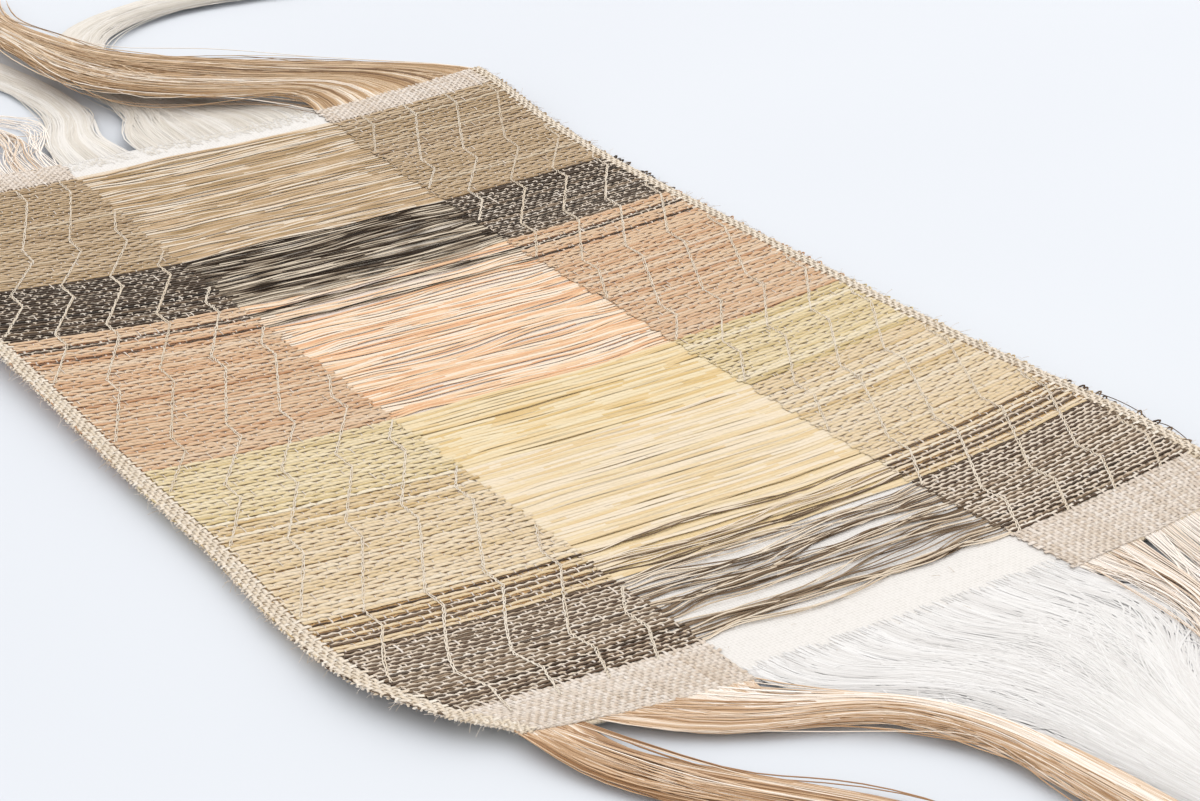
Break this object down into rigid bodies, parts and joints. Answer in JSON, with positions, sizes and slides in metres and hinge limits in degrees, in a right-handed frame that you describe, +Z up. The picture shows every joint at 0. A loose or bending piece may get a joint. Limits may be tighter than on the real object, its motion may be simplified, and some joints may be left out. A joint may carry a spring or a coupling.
{
  "type": "woven cloth",
  "caption": "Hand-woven banded cloth panel lying flat, with pale headings and long loose warp fringe gathered into hanks at both ends.",
  "frame": {"origin": "middle of the cloth's flat underside, on the surface that it lies on", "axes": "+X across to the right selvedge, +Y along the warp to the far end, +Z up"},
  "size_m": [0.3433, 0.8343, 0.0141],
  "materials": {
    "woven_linen": "plain-woven linen and wool, matt",
    "linen_ends": "loose linen warp ends, soft sheen",
    "white_ends": "loose fine white warp ends, soft sheen",
    "brown_linen_ends": "loose brown linen warp ends, soft sheen"
  },
  "bodies": {
    "root": {"cloth": "woven_linen", "near_left_fringe": "linen_ends", "near_centre_fringe": "white_ends", "near_right_fringe": "linen_ends", "far_left_fringe": "linen_ends", "far_centre_fringe": "white_ends", "far_right_fringe": "brown_linen_ends"}
  },
  "joints": []
}
